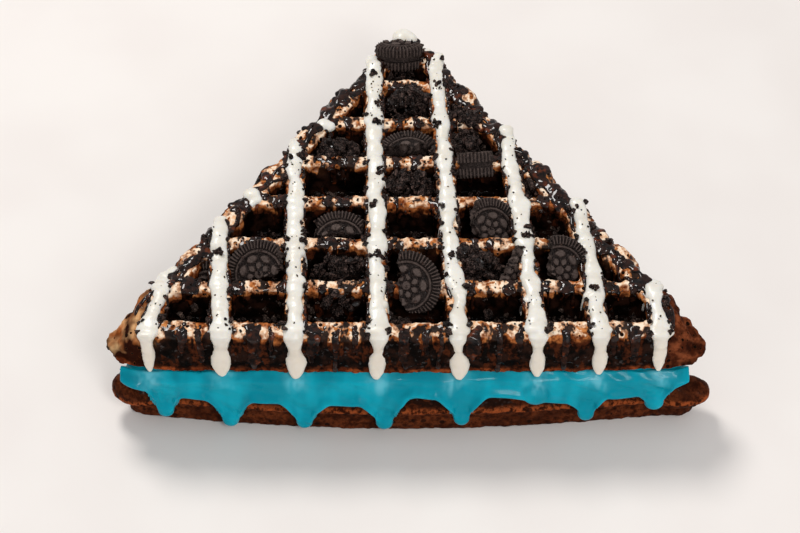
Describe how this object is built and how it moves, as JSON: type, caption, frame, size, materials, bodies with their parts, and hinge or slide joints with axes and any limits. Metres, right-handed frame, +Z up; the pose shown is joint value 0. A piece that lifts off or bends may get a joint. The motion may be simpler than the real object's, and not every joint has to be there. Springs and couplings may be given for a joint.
{
  "type": "waffle sandwich",
  "caption": "Triangular waffle sandwich with a soft cream filling that drips down the front, white drizzle along the ribs, and broken cocoa cookies and crumbs in the pockets.",
  "frame": {"origin": "under the middle of the whole shape, on the surface it lies on", "axes": "+X to the right along the straight front edge, +Y from that edge towards the apex, +Z up"},
  "size_m": [0.2096, 0.1638, 0.0566],
  "materials": {
    "waffle_crust": "baked crust, golden tan to dark brown, slightly greasy",
    "blue_cream": "smooth glossy cream",
    "white_drizzle": "smooth satin icing",
    "chocolate_sauce": "wet gloss",
    "cocoa_cookie": "dry matte biscuit",
    "cocoa_crumb": "dry matte crumb with some sauce on it"
  },
  "bodies": {
    "root": {"waffle_lower": "waffle_crust", "waffle_upper": "waffle_crust", "cream_filling": "blue_cream", "cookie_apex": "cocoa_cookie", "cookie_centre": "cocoa_cookie", "cookie_upper_right": "cocoa_cookie", "cookie_right": "cocoa_cookie", "cookie_left": "cocoa_cookie", "cookie_front_left": "cocoa_cookie", "cookie_front": "cocoa_cookie", "cookie_front_right": "cocoa_cookie", "cookie_chunk": "cocoa_cookie", "cookie_bit_left": "cocoa_cookie", "cookie_bit_top": "cocoa_cookie"}
  },
  "joints": []
}
